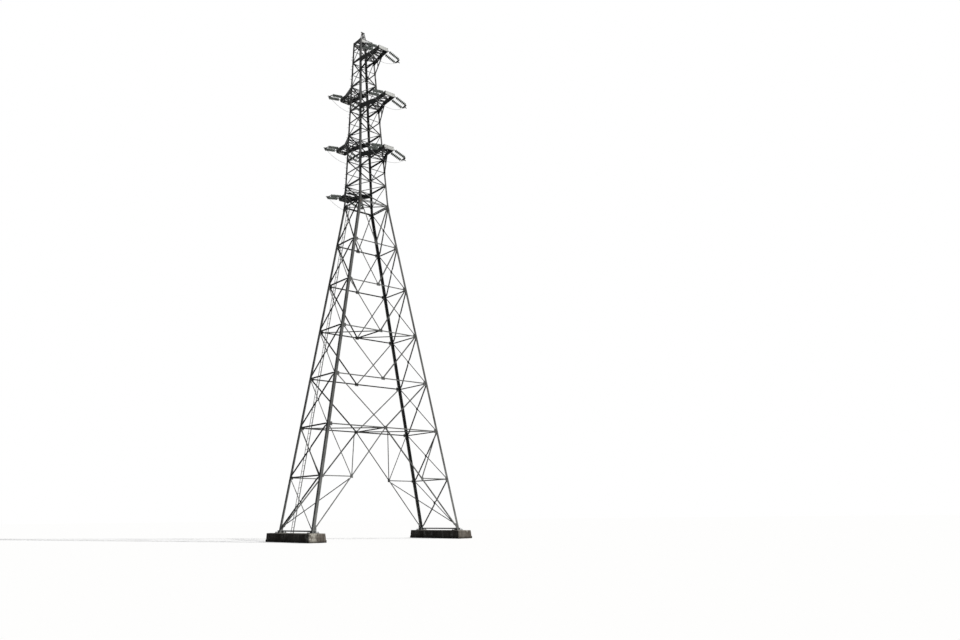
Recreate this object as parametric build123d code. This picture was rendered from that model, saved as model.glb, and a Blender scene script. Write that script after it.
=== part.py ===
from build123d import *
from math import cos, hypot, pi, radians, sin, tan
import os

# Lattice transmission pylon on two concrete piers, a 1:2 scale model in millimetres.
# X is level from pier to pier, Y runs along the piers and the crossarms, and Z up.
# Near is -Y, far is +Y, left is -X and right is +X.  The origin is midway between
# the piers, on the level of their undersides.

# Concrete piers
pier_height = 400
pier_top_length = 3560
pier_top_width = 880
pier_batter = 15
pier_outset = 10
ledge_height = 120
ledge_width = 20

# Tower outline: half widths to the outer corners of the legs
base_half_x = 4350
base_half_y = 1400
waist_half_x = 950
waist_half_y = 715
top_half_x = 430
top_half_y = 335
waist_rise = 16530
mast_rise = 9990

# Feet
shoe_height = 110
shoe_plate_side = 380
shoe_plate = 25
stub_side = 220
stiffener = 16
stiffener_reach = 70
strut_height = 60
strut_thickness = 12

# Legs: angle sections
leg_flange = 125
leg_thickness = 14
mast_leg_flange = 100
mast_leg_thickness = 10
splice_gap = 0.5

# Bracing of the lower body
half_ring = 2360
ring_1 = 4714
ring_2 = 7131
ring_3 = 9559
ring_4 = 12003
ring_5 = 14258
gusset_thickness = 10
girt_height = 55
girt_reach = 50
brace_width = 55
brace_reach = 45
slim_width = 45
slim_reach = 35
angle_thickness = 8
bolt_clearance = 6
side_lattice_thickness = 16
side_brace_width = 50
corner_gusset_length = 210
corner_gusset_height = 180
middle_gusset_length = 220
middle_gusset_height = 160
strut_gusset_length = 150
strut_gusset_height = 150
foot_gusset_height = 220

# Bracing of the mast
panel_count = 11
first_panel_rise = 1200
top_panel_rise = 518
mast_brace_width = 42
mast_lattice_thickness = 14
top_plate_height = 215
top_gusset_length = 190

# Bracing inside the lower body
plan_width = 50
hip_width = 40
hip_upper_share = 0.965
hip_middle_share = 0.5
hip_drop_share = 0.03
hip_lower_share = 0.04

# Ladder
ladder_y = 300
ladder_width = 210
rail_width = 32
rail_thickness = 26
rung_pitch = 250
rung_side = 18

# Crossarms: near ones start two panel levels up, far ones at the first, both four apart
arm_depth_tip = 150
arm_depth_root = 185
arm_tip_half = 290
arm_neck = 900
arm_bays = 2
arm_hanger_share = 0.5
chord_size = 50
lacing_size = 28
end_plate_thickness = 14
near_first_level = 2
far_first_level = 0
arm_level_step = 4
lower_arm_reach = 2050
middle_arm_reach = 2260
upper_arm_reach = 1820

# Insulator strings, two side by side at each end of every arm
string_spacing = 330
string_inset = 60
disc_count = 7
disc_pitch = 97
disc_radius = 80
disc_neck = 22
disc_sides = 6
disc_rim_share = 0.6
link_length = 95
shank_length = 26
lug_side = 70
lug_thickness = 30
yoke_width = 80
yoke_thickness = 16
clamp_length = 170
clamp_side = 44
terminal_length = 70
terminal_side = 24
right_droop = 18
left_droop = 10

# Jumper loops under the arms
jumper_diameter = 15
jumper_sides = 6
# the loop's points across and up from the middle of the arm's tip
jumper_points = [(-1182, -220), (-1014, -339), (-830, -452), (-650, -545), (-465, -618), (-275, -670), (-85, -699),
                 (110, -705), (300, -688), (490, -649), (675, -590), (850, -513), (1010, -426), (1155, -335)]

# Earth wire peak
peak_height = 640
peak_base_half = 130
peak_top_half = 45
peak_bar = 36
peak_beam_height = 60
peak_beam_width = 300
peak_cap = 14
earth_clamp_length = 260
earth_clamp_side = 60

foot_z = pier_height + shoe_height
waist_z = foot_z + waist_rise
top_z = waist_z + mast_rise
bracing_depth = leg_thickness + gusset_thickness
side_depth = leg_thickness + side_lattice_thickness
mast_depth = mast_leg_thickness + mast_lattice_thickness
os.makedirs("parts", exist_ok=True)


def blend(low, high, share):
    return low + (high - low) * share


def half_x(z):
    if z <= waist_z:
        return blend(base_half_x, waist_half_x, (z - foot_z) / waist_rise)
    return blend(waist_half_x, top_half_x, (z - waist_z) / mast_rise)


def half_y(z):
    if z <= waist_z:
        return blend(base_half_y, waist_half_y, (z - foot_z) / waist_rise)
    return blend(waist_half_y, top_half_y, (z - waist_z) / mast_rise)


class TowerFace:
    """One flat side of the lower body or the mast: places 2-D bars on it by height."""

    def __init__(self, side, mast):
        self.low = waist_z if mast else foot_z
        rise = mast_rise if mast else waist_rise
        wide = side in ("near", "far")
        self.width = half_x if wide else half_y
        reach = half_y if wide else half_x
        lean = reach(self.low + 1) - reach(self.low)
        self.stretch = hypot(1, lean)
        sign = -1 if side in ("near", "left") else 1
        outward = (0, sign, -lean) if wide else (sign, 0, -lean)
        along = (-sign, 0, 0) if wide else (0, sign, 0)
        origin = (0, sign * reach(self.low), self.low) if wide else (sign * reach(self.low), 0, self.low)
        self.plane = Plane(origin=origin, x_dir=along, z_dir=outward)
        self.sign = -sign if wide else sign
        self.high = self.low + rise

    def point(self, across, z):
        return (across, (z - self.low) * self.stretch)

    def corner(self, right, z, inset):
        return self.point(right * (self.width(z) - inset), z)

    def inside(self, low, high, inset):
        corners = [self.corner(-1, low, inset), self.corner(1, low, inset),
                   self.corner(1, high, inset), self.corner(-1, high, inset)]
        return Polygon(*corners, align=None)

    def slab(self, sketch, outer, inner):
        return extrude(self.plane.offset(-inner) * sketch, amount=inner - outer)


def strip(start, end, width, shift=0.0, extra=0.0):
    dx, dy = end[0] - start[0], end[1] - start[1]
    length = hypot(dx, dy)
    ux, uy = dx / length, dy / length
    corners = []
    for along, across in ((-extra, -width / 2), (length + extra, -width / 2),
                          (length + extra, width / 2), (-extra, width / 2)):
        side = across + shift
        corners.append((start[0] + ux * along - uy * side, start[1] + uy * along + ux * side))
    return Polygon(*corners, align=None)


def angle_bar(face, start, end, width, reach, keep, cuts=(), edge=1):
    """An angle section: one flange flat on the face, the other standing inward."""
    flat = strip(start, end, width) & keep
    standing = strip(start, end, angle_thickness, edge * (width - angle_thickness) / 2) & keep
    for cut in cuts:
        flat -= cut
        standing -= cut
    inner = bracing_depth + angle_thickness
    return (face.slab(flat, bracing_depth, inner)
            + face.slab(standing, bracing_depth, bracing_depth + reach))


def save(name, *solids):
    export_step(Compound(children=list(solids)) if len(solids) > 1 else solids[0], f"parts/{name}.step")


def bar(start, end, width, height=None):
    """A straight square-cut bar between two points, its width level."""
    run = Vector(*end) - Vector(*start)
    level = Vector(-run.Y, run.X, 0) if hypot(run.X, run.Y) > 1e-6 else Vector(1, 0, 0)
    place = Plane(origin=start, x_dir=level, z_dir=run)
    return extrude(place * Rectangle(width, height or width), amount=run.length)


# Piers: battered blocks on a wider ledge
def pier(side):
    center_x = side * (base_half_x + pier_outset)
    top = Plane.XY.offset(pier_height) * Rectangle(pier_top_width, pier_top_length)
    spread = 2 * pier_batter
    bottom = Plane.XY.offset(ledge_height) * Rectangle(pier_top_width + spread, pier_top_length + spread)
    body = loft([bottom.face(), top.face()], ruled=True)
    ledge = Rectangle(pier_top_width + spread + 2 * ledge_width, pier_top_length + spread + 2 * ledge_width)
    return Pos(center_x, 0, 0) * (body + extrude(ledge, amount=ledge_height))


save("left_pier", pier(-1))
save("right_pier", pier(1))


# Shoes: a base plate, a box stub under the leg and stiffeners on its three free sides
def shoe(side_x, side_y):
    x = side_x * (base_half_x - leg_flange / 2)
    y = side_y * (base_half_y - leg_flange / 2)
    top = pier_height + shoe_plate
    whole = Pos(x, y, pier_height + shoe_plate / 2) * Box(shoe_plate_side, shoe_plate_side, shoe_plate)
    whole += Pos(x, y, (top + foot_z) / 2) * Box(stub_side, stub_side, foot_z - top)
    toe = stub_side / 2 + stiffener_reach
    profile = Plane.XZ * Polygon((0, top), (toe, top), (stub_side / 2, foot_z), (0, foot_z), align=None)
    rib = extrude(profile, amount=stiffener / 2, both=True)
    for turn in (0, 180, 90 * side_y):
        whole += Pos(x, y, 0) * (Rot(0, 0, turn) * rib)
    return whole


# Foot struts: angles between the two shoes of a pier
def foot_strut(side_x):
    length = 2 * (base_half_y - leg_flange / 2) - stub_side
    x = side_x * (base_half_x - side_depth - rail_thickness - bolt_clearance - strut_height / 2)
    standing = Pos(x, 0, foot_z - strut_height / 2) * Box(strut_thickness, length, strut_height)
    flat = Pos(x, 0, foot_z - strut_thickness / 2) * Box(strut_height, length, strut_thickness)
    return standing + flat


for side_x, name in ((-1, "left"), (1, "right")):
    save(f"{name}_shoes", shoe(side_x, -1), shoe(side_x, 1))
    save(f"{name}_foot_strut", foot_strut(side_x))


# Legs: angle sections with the heel on the tower's corner
def leg_length(side_x, side_y, low, high, flange, thickness):
    profile = Polygon((0, 0), (-flange, 0), (-flange, -thickness), (-thickness, -thickness),
                      (-thickness, -flange), (0, -flange), align=None)
    corner = Vector(half_x(low), half_y(low), low)
    run = Vector(half_x(high), half_y(high), high) - corner
    solid = extrude(Pos(*corner) * profile, amount=run.length, dir=run)
    if side_x < 0:
        solid = solid.mirror(Plane.YZ)
    if side_y < 0:
        solid = solid.mirror(Plane.XZ)
    return solid


leg_names = {(-1, -1): "near_left_leg", (1, -1): "near_right_leg", (-1, 1): "far_left_leg", (1, 1): "far_right_leg"}
for (side_x, side_y), name in leg_names.items():
    save(name, leg_length(side_x, side_y, foot_z, waist_z - splice_gap, leg_flange, leg_thickness),
         leg_length(side_x, side_y, waist_z, top_z, mast_leg_flange, mast_leg_thickness))

# Wide faces of the lower body: ring girts with gussets, V bracing above the first
# ring and an inverted V with half-height struts below it
rings = [foot_z + rise for rise in (ring_1, ring_2, ring_3, ring_4, ring_5)]
rings.append(waist_z - girt_height / 2 - bolt_clearance)
half_z = foot_z + half_ring
edge_inset = side_depth + bolt_clearance
node_inset = leg_flange / 2


def half_of(keep, sign):
    """The part of an outline on one side of the face's centre line, clear of the line."""
    box = keep.bounding_box()
    width, height = box.size.X, 2 * box.max.Y
    return keep & (Pos(sign * (width / 2 + bolt_clearance), box.max.Y) * Rectangle(width, height))


def gusset(face, sign, z, length, height, keep):
    x, y = face.corner(sign, z, edge_inset)
    return (Pos(x - sign * length / 2, y) * Rectangle(length, height)) & keep


def ring_girt(face, z, keep, has_middle):
    start, end = face.corner(-1, z, edge_inset), face.corner(1, z, edge_inset)
    girt = angle_bar(face, start, end, girt_height, girt_reach, keep)
    for sign in (-1, 1):
        sheet = gusset(face, sign, z, corner_gusset_length, corner_gusset_height, keep)
        girt += face.slab(sheet, leg_thickness, bracing_depth)
    if has_middle:
        sheet = Pos(*face.point(0, z)) * Rectangle(middle_gusset_length, middle_gusset_height)
        girt += face.slab(sheet, leg_thickness, bracing_depth)
    return girt


def base_leg_bracing(face, sign, keep):
    """One side of the inverted V: main diagonal, half-height strut and slim diagonal."""
    apex = face.point(0, rings[0])
    foot = face.corner(sign, foot_z, node_inset)
    share = half_ring / ring_1
    joint = (blend(foot[0], apex[0], share), blend(foot[1], apex[1], share))
    panel = face.inside(foot_z + bolt_clearance, rings[0] - girt_height / 2 - bolt_clearance, edge_inset)
    main = angle_bar(face, foot, apex, brace_width, brace_reach, half_of(panel, sign), edge=sign)
    clear_of_main = strip(foot, apex, brace_width + 2 * bolt_clearance)
    at_leg = face.corner(sign, half_z, edge_inset)
    strut = angle_bar(face, at_leg, joint, slim_width, slim_reach, keep, [clear_of_main])
    middle_sheet = Pos(*joint) * Rectangle(strut_gusset_length, strut_gusset_height)
    leg_sheet = gusset(face, sign, half_z, strut_gusset_length, strut_gusset_height, keep)
    for sheet in (middle_sheet, leg_sheet):
        strut += face.slab(sheet, leg_thickness, bracing_depth)
    clear_of_strut = strip(at_leg, joint, slim_width + 2 * bolt_clearance)
    slim = angle_bar(face, joint, face.corner(sign, rings[0], node_inset), slim_width, slim_reach, panel,
                     [clear_of_main, clear_of_strut], edge=sign)
    foot_middle = foot_z + bolt_clearance + foot_gusset_height / 2
    foot_sheet = gusset(face, sign, foot_middle, strut_gusset_length, foot_gusset_height, keep)
    return [strut, face.slab(foot_sheet, leg_thickness, bracing_depth)], [main, slim]


def wide_face(side):
    face = TowerFace(side, False)
    keep = face.inside(foot_z + bolt_clearance, waist_z - bolt_clearance / 2, edge_inset)
    girts = [ring_girt(face, z, keep, z != rings[-1]) for z in rings]
    diagonals = []
    for sign in (-1, 1):
        carried, crossing = base_leg_bracing(face, sign, keep)
        girts += carried
        diagonals += crossing
    for low, high in zip(rings, rings[1:]):
        panel = face.inside(low + girt_height / 2 + bolt_clearance, high - girt_height / 2 - bolt_clearance,
                            edge_inset)
        for sign in (-1, 1):
            diagonals.append(angle_bar(face, face.point(0, low), face.corner(sign, high, node_inset),
                                       brace_width, brace_reach, half_of(panel, sign), edge=sign))
    return girts, diagonals


for side in ("near", "far"):
    girts, diagonals = wide_face(side)
    save(f"{side}_lower_girts", *girts)
    save(f"{side}_lower_diagonals", *diagonals)

# Narrow faces of the lower body: crossed bracing fused into one flat lattice
side_inset = bracing_depth + girt_reach + bolt_clearance


def narrow_face(side):
    face = TowerFace(side, False)
    keep = face.inside(foot_z + 2 * bolt_clearance, waist_z - bolt_clearance / 2, side_inset)
    levels = [foot_z, half_z] + rings
    lattice = Sketch()
    for low, high in zip(levels, levels[1:]):
        for sign in (-1, 1):
            lattice += strip(face.corner(-sign, low, node_inset), face.corner(sign, high, node_inset),
                             side_brace_width)
        lattice += strip(face.corner(-1, high, side_inset), face.corner(1, high, side_inset), girt_height)
    return face.slab(lattice & keep, leg_thickness, side_depth)


for side in ("left", "right"):
    save(f"{side}_lower_lattice", narrow_face(side))

# Mast: level girts with one diagonal a panel that zigzags round the four sides
panel_height = (mast_rise - first_panel_rise - top_panel_rise) / panel_count
panel_levels = [waist_z + first_panel_rise + level * panel_height for level in range(panel_count + 1)]
mast_inset = mast_depth + bolt_clearance / 2
mast_node_inset = mast_leg_flange / 2


def mast_face(side):
    face = TowerFace(side, True)
    keep = face.inside(waist_z + bolt_clearance / 2, top_z, mast_inset)
    plate_z = top_z - top_plate_height / 2
    foot_girt = waist_z + (mast_brace_width + bolt_clearance) / 2
    nodes = [foot_girt, panel_levels[0] - panel_height] + panel_levels + [plate_z]
    lattice = Sketch()
    for index, (low, high) in enumerate(zip(nodes, nodes[1:])):
        lean = face.sign if index % 2 == 0 else -face.sign
        lattice += strip(face.corner(-lean, low, mast_node_inset), face.corner(lean, high, mast_node_inset),
                         mast_brace_width)
    for z in [foot_girt] + panel_levels + [top_z - mast_brace_width / 2]:
        lattice += strip(face.corner(-1, z, mast_inset), face.corner(1, z, mast_inset), mast_brace_width)
    plate_length = face.width(top_z) if side in ("left", "right") else top_gusset_length
    for sign in (-1, 1):
        x, y = face.corner(sign, plate_z, mast_inset)
        lattice += Pos(x - sign * plate_length / 2, y) * Rectangle(plate_length, top_plate_height)
    return face.slab(lattice & keep, mast_leg_thickness, mast_depth)


for side in ("near", "far", "left", "right"):
    save(f"{side}_mast_lattice", mast_face(side))

# Inside the lower body: plan frames at two rings and bars between the main diagonals
def core(low, high, inset_x, inset_y):
    """The space inside one stretch of the tower, its sides parallel to the faces."""
    lean_x = hypot(1, (half_x(low + 1) - half_x(low)))
    lean_y = hypot(1, (half_y(low + 1) - half_y(low)))
    outlines = []
    for z in (low, high):
        outline = Rectangle(2 * (half_x(z) - inset_x * lean_x), 2 * (half_y(z) - inset_y * lean_y))
        outlines.append((Plane.XY.offset(z) * outline).face())
    return loft(outlines, ruled=True)


plan_core = core(foot_z, waist_z, side_depth + bolt_clearance, bracing_depth + girt_reach)
hip_core = core(foot_z, waist_z, side_depth + bolt_clearance, bracing_depth + brace_reach)


def plan_frame(z):
    level = z + (girt_height - angle_thickness) / 2
    reach = half_y(z)
    corner = half_x(z) - leg_flange - corner_gusset_length
    frame = Sketch()
    for start, end in (((0, -reach), (0, reach)), ((-corner, reach), (0, -reach)), ((0, reach), (corner, -reach))):
        frame += strip(start, end, plan_width)
    return extrude(Pos(0, 0, level - angle_thickness / 2) * frame, amount=angle_thickness) & plan_core


save("plan_bracing", *[solid for z in (rings[0], rings[2]) for solid in plan_frame(z).solids()])


def on_main_diagonal(side_x, side_y, share):
    z = blend(foot_z, rings[0], share)
    return (side_x * (base_half_x - node_inset) * (1 - share), side_y * half_y(z), z)


def hip_bars(side_x, side_y):
    """From the apex on one wide face to the middle of the far diagonal and back to the foot."""
    upper = on_main_diagonal(side_x, side_y, hip_upper_share)
    lower = on_main_diagonal(side_x, side_y, hip_lower_share)
    gap = hip_width / ring_1
    above = on_main_diagonal(side_x, -side_y, hip_middle_share + gap)
    below = on_main_diagonal(side_x, -side_y, hip_middle_share - hip_drop_share)
    return [bar(upper, above, hip_width) & hip_core, bar(below, lower, hip_width) & hip_core]


save("hip_braces", *hip_bars(1, -1), *hip_bars(-1, 1))


# Ladder inside the left face, standing on the pier
def ladder():
    face = TowerFace("left", False)
    top = waist_z - girt_height
    half = (ladder_width - rail_width) / 2
    whole = Sketch()
    for across in (-ladder_y - half, -ladder_y + half):
        whole += strip(face.point(across, 0), face.point(across, top), rail_width)
    whole = face.slab(whole, side_depth, side_depth + rail_thickness)
    middle = side_depth + rail_thickness / 2
    for index in range(int((top - foot_z) / rung_pitch)):
        z = foot_z + (index + 0.5) * rung_pitch
        rung = strip(face.point(-ladder_y - half, z), face.point(-ladder_y + half, z), rung_side)
        whole += face.slab(rung, middle - rung_side / 2, middle + rung_side / 2)
    above_pier = Pos(0, 0, pier_height + waist_z / 2) * Box(2 * base_half_x + leg_flange, 2 * base_half_y, waist_z)
    return whole & above_pier


save("ladder", ladder())


# Crossarms: level top chords that close in to a box with an end plate, and bottom
# chords that run down to the next panel level
def blend_point(start, end, share):
    return tuple(blend(a, b, share) for a, b in zip(start, end))


def fused(pieces):
    return pieces[0].fuse(*pieces[1:])


def arm_side(side_x, side_y, index, reach):
    """Chords, hanger and brace on one side of an arm: (start, end, size) of each."""
    level, below = panel_levels[index], panel_levels[index] - panel_height
    neck = half_y(level) + arm_neck
    x = side_x * arm_tip_half
    root_top = (side_x * (half_x(level) - mast_node_inset), side_y * (half_y(level) - chord_size), level)
    root_low = (side_x * (half_x(below) - mast_node_inset), side_y * (half_y(below) - chord_size), below)
    neck_top, neck_low = (x, side_y * neck, level), (x, side_y * neck, level - arm_depth_root)
    tip_top, tip_low = (x, side_y * reach, level), (x, side_y * reach, level - arm_depth_tip)
    hanger_top = blend_point(root_top, neck_top, arm_hanger_share)
    hanger_low = blend_point(root_low, neck_low, arm_hanger_share)
    return [(root_top, neck_top, chord_size), (neck_top, tip_top, chord_size),
            (root_low, neck_low, chord_size), (neck_low, tip_low, chord_size),
            (neck_top, neck_low, lacing_size), (hanger_top, hanger_low, lacing_size),
            (hanger_top, neck_low, lacing_size)]


def arm_lacing(side_y, index, reach):
    """Level bars across an arm, from the mast to the end plate."""
    level = panel_levels[index]
    neck = half_y(level) + arm_neck
    rows = []
    for share in (0, arm_hanger_share, 1):
        half = blend(half_x(level) - mast_node_inset, arm_tip_half, share)
        rows.append((half, side_y * blend(half_y(level), neck, share)))
    lacing = []
    for (half, y), (next_half, next_y), turn in zip(rows, rows[1:], (1, -1)):
        lacing.append(((-turn * half, y, level), (turn * next_half, next_y, level), lacing_size))
        lacing.append(((-next_half, next_y, level), (next_half, next_y, level), lacing_size))
    low = level - arm_depth_root
    lacing.append(((-arm_tip_half, side_y * neck, low), (arm_tip_half, side_y * neck, low), lacing_size))
    for bay in range(arm_bays):
        turn = 1 if bay % 2 == 0 else -1
        y, next_y = [side_y * blend(neck, reach, (bay + step) / arm_bays) for step in (0, 1)]
        for depth_root, depth_tip in ((0, 0), (arm_depth_root, arm_depth_tip)):
            z, next_z = [level - blend(depth_root, depth_tip, (bay + step) / arm_bays) for step in (0, 1)]
            lacing.append(((-turn * arm_tip_half, y, z), (turn * arm_tip_half, next_y, next_z), lacing_size))
    return lacing


def crossarm(side_y, index, reach):
    bars = arm_side(-1, side_y, index, reach) + arm_side(1, side_y, index, reach)
    pieces = [bar(*ends) for ends in bars + arm_lacing(side_y, index, reach)]
    plate = Box(2 * arm_tip_half + chord_size, end_plate_thickness, arm_depth_tip + chord_size)
    pieces.append(Pos(0, side_y * (reach - end_plate_thickness / 2), panel_levels[index] - arm_depth_tip / 2) * plate)
    face = TowerFace("near" if side_y < 0 else "far", True)
    outside = extrude(face.plane * Rectangle(4 * waist_half_x, 4 * mast_rise), amount=2 * reach)
    return fused(pieces) & outside


arms = {}
for step, (height, reach) in enumerate((("lower", lower_arm_reach), ("middle", middle_arm_reach),
                                        ("upper", upper_arm_reach))):
    arms[f"near_{height}"] = (-1, near_first_level + step * arm_level_step, reach)
    arms[f"far_{height}"] = (1, far_first_level + step * arm_level_step, reach)
for name, (side_y, index, reach) in arms.items():
    save(f"{name}_arm", crossarm(side_y, index, reach))


# Insulator strings, drawn about the middle of an arm's tip: two strings of discs from
# lugs on the box's side to a yoke plate, with the conductor's dead-end clamp beyond it
lug_x = arm_tip_half + chord_size / 2
string_length = link_length + disc_count * disc_pitch
yoke_x = string_length + shank_length + yoke_width / 2


def string_frame(side_x):
    droop = radians(right_droop if side_x > 0 else left_droop)
    return Plane(origin=(side_x * (lug_x + lug_thickness), 0, 0), x_dir=(side_x * cos(droop), 0, -sin(droop)),
                 z_dir=(side_x * sin(droop), 0, cos(droop)))


def insulator_string():
    """A link, the stack of bells and a shank, along X from inside the lug to inside the yoke."""
    sizes = [(-lug_thickness / 2, disc_neck)]
    for index in range(disc_count):
        start = link_length + index * disc_pitch
        sizes += [(start, disc_neck), (start + disc_rim_share * disc_pitch, disc_radius)]
    sizes += [(string_length, disc_neck), (yoke_x, disc_neck)]
    turns = [2 * pi * side / disc_sides for side in range(disc_sides)]
    outlines = [[Vector(x, radius * cos(turn), radius * sin(turn)) for turn in turns] for x, radius in sizes]
    faces = [Face(Wire.make_polygon(outlines[0])), Face(Wire.make_polygon(outlines[-1]))]
    for outline, following in zip(outlines, outlines[1:]):
        for side in range(disc_sides):
            corners = [outline[side], outline[side - 1], following[side - 1], following[side]]
            faces.append(Face(Wire.make_polygon(corners)))
    return Solid(Shell(faces))


def string_set(side_x, terminal):
    pieces = [Pos(yoke_x, 0, 0) * Box(yoke_width, string_spacing + yoke_width, yoke_thickness),
              Pos(yoke_x + clamp_length / 2, 0, 0) * Box(clamp_length, clamp_side, clamp_side)]
    for side in (-1, 1):
        pieces.append(Pos(0, side * string_spacing / 2, 0) * insulator_string())
    frame = string_frame(side_x)
    pieces = [frame * piece for piece in pieces]
    for side in (-1, 1):
        lug = Box(lug_thickness, lug_side, arm_depth_tip + chord_size)
        pieces.append(Pos(side_x * (lug_x + lug_thickness / 2), side * string_spacing / 2, 0) * lug)
    return fused(pieces + [terminal])


# Jumper loops: each hangs from clamp to clamp under its arm
def jumper(points):
    radii = []
    for before, here, after in zip(points, points[1:], points[2:]):
        turn = radians((here - before).get_angle(after - here))
        radii.append(0.45 * min((here - before).length, (after - here).length) / tan(turn / 2))
    path = FilletPolyline(*points, radius=radii)
    section = RegularPolygon(jumper_diameter / 2, jumper_sides)
    tube = sweep(Plane(origin=path @ 0, z_dir=path % 0) * section, path=path)
    print("jumper: length", round(path.length), "by volume", round(tube.volume / section.area),
          "radii", round(min(radii)), "to", round(max(radii)))
    return tube


def terminal(tip, after):
    back = (tip - after).normalized() * (terminal_length + clamp_side / 4)
    return bar(tuple(tip + back), tuple(tip), terminal_side)


route = [Vector(x, 0, z) for x, z in jumper_points]
loop = jumper(route)
string_sets = [string_set(-1, terminal(route[0], route[1])), string_set(1, terminal(route[-1], route[-2]))]
for name, (side_y, index, reach) in arms.items():
    tip = Pos(0, side_y * (reach - string_inset - string_spacing / 2), panel_levels[index] - arm_depth_tip / 2)
    save(f"{name}_strings", *[tip * string_pair for string_pair in string_sets])
    save(f"{name}_jumper", tip * loop)


# Earth wire peak: four bars on a beam across the mast's top, a cap and the wire's clamp
def earth_wire_peak():
    seat_z = top_z - peak_cap
    mast_core = core(waist_z + splice_gap, top_z, mast_depth, mast_depth)
    beam = Pos(0, 0, seat_z - peak_beam_height / 2) * Box(2 * top_half_x, peak_beam_width, peak_beam_height)
    whole = (beam & mast_core) + Pos(0, 0, seat_z + peak_cap / 2) * Box(peak_beam_width, peak_beam_width, peak_cap)
    high = seat_z + peak_height
    for x, y in ((-1, -1), (-1, 1), (1, -1), (1, 1)):
        whole += bar((x * peak_base_half, y * peak_base_half, seat_z), (x * peak_top_half, y * peak_top_half, high),
                     peak_bar)
    side = 2 * peak_top_half + peak_bar
    whole += Pos(0, 0, high + peak_cap / 2) * Box(side, side, peak_cap)
    whole += Pos(0, 0, high + peak_cap + earth_clamp_side / 2) * Box(earth_clamp_length, earth_clamp_side,
                                                                     earth_clamp_side)
    return whole


save("earth_wire_peak", earth_wire_peak())
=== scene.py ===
from itertools import product
from math import cos, hypot, pi, radians, sin

import bmesh
import bpy
from mathutils import Matrix, Vector


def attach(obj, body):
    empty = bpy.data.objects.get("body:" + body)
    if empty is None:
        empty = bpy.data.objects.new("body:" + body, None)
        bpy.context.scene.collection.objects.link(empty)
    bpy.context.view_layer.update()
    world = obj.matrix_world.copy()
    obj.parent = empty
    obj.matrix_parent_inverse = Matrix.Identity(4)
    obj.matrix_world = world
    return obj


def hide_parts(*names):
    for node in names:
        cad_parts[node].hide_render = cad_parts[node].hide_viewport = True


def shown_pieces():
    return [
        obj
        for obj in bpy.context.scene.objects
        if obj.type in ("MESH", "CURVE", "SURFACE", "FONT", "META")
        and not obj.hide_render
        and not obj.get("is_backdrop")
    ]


# Lattice transmission pylon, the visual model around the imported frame, in metres.
# X runs from pier to pier, Y along the crossarms, Z is up; near is -Y, left is -X.
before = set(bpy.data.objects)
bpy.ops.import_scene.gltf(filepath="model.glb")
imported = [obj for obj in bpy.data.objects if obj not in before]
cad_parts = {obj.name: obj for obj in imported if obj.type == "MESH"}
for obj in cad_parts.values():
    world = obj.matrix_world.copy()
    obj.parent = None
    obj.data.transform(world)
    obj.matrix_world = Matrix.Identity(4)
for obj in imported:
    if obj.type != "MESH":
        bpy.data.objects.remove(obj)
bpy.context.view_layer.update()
scene = bpy.context.scene
scene.view_settings.view_transform = "Standard"
print("frame loaded:", len(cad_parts), "nodes")

# The tower's outline: half widths to the outer corners of the legs, and the levels of its rings
tower = {"footZ": 0.51, "waistZ": 17.04, "topZ": 27.03, "legFlange": 0.125,
         "baseHalf": (4.35, 1.4), "waistHalf": (0.95, 0.715), "topHalf": (0.43, 0.335),
         "halfRing": 2.87, "rings": (5.224, 7.641, 10.069, 12.513, 14.768), "waistGirtDrop": 0.0335,
         "firstPanel": 1.2, "topPanel": 0.518, "panels": 11}
footZ, waistZ, topZ, halfRing = (tower[key] for key in ("footZ", "waistZ", "topZ", "halfRing"))
panelHeight = (topZ - waistZ - tower["firstPanel"] - tower["topPanel"]) / tower["panels"]
panelLevels = [waistZ + tower["firstPanel"] + step * panelHeight for step in range(tower["panels"] + 1)]
bodyLevels = [footZ, halfRing, *tower["rings"], waistZ - tower["waistGirtDrop"]]
shoeX, shoeY = (half - tower["legFlange"] / 2 for half in tower["baseHalf"])
up, down = Vector((0, 0, 1)), Vector((0, 0, -1))
bothWays = (-1, 1)
closeBy = 0.01  # places nearer to each other than this count as one
pointing = 0.9  # a face points a way where its normal's share of it is above this


def blend(low, high, share):
    return low + (high - low) * share


def halfWidth(z, axis):
    base, middle, top = tower["baseHalf"][axis], tower["waistHalf"][axis], tower["topHalf"][axis]
    if z <= waistZ:
        return blend(base, middle, (z - footZ) / (waistZ - footZ))
    return blend(middle, top, (z - waistZ) / (topZ - waistZ))


def axes(first, second, third):
    return Matrix((first, second, third)).transposed().to_4x4()


# Camera at the photograph's standpoint
viewpoint = {"place": (-23.13, -29.70, 0.962), "heading": 0.6263, "tilt": 0.2568, "roll": -0.0103,
             "lens": 28.49, "shift": 0.1434, "farthest": 3000}


def addCamera():
    heading, tilt, roll = (viewpoint[key] for key in ("heading", "tilt", "roll"))
    forward = Vector((sin(heading) * cos(tilt), cos(heading) * cos(tilt), sin(tilt)))
    level = Vector((cos(heading), -sin(heading), 0))
    upward = level.cross(forward)
    across = cos(roll) * level + sin(roll) * upward
    upright = cos(roll) * upward - sin(roll) * level
    data = bpy.data.cameras.new("standpoint")
    data.lens, data.shift_x, data.clip_end = (viewpoint[key] for key in ("lens", "shift", "farthest"))
    camera = bpy.data.objects.new("standpoint", data)
    camera.matrix_world = Matrix.Translation(viewpoint["place"]) @ axes(across, upright, -forward)
    scene.collection.objects.link(camera)
    scene.camera = camera


addCamera()

# Materials


def newMaterial(name, **sockets):
    # values for the shader's own sockets, with _ for a space
    material = bpy.data.materials.new(name)
    material.use_nodes = True
    shader = material.node_tree.nodes["Principled BSDF"]
    for socket, value in sockets.items():
        shader.inputs[socket.replace("_", " ")].default_value = value
    return material, material.node_tree, shader


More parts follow.
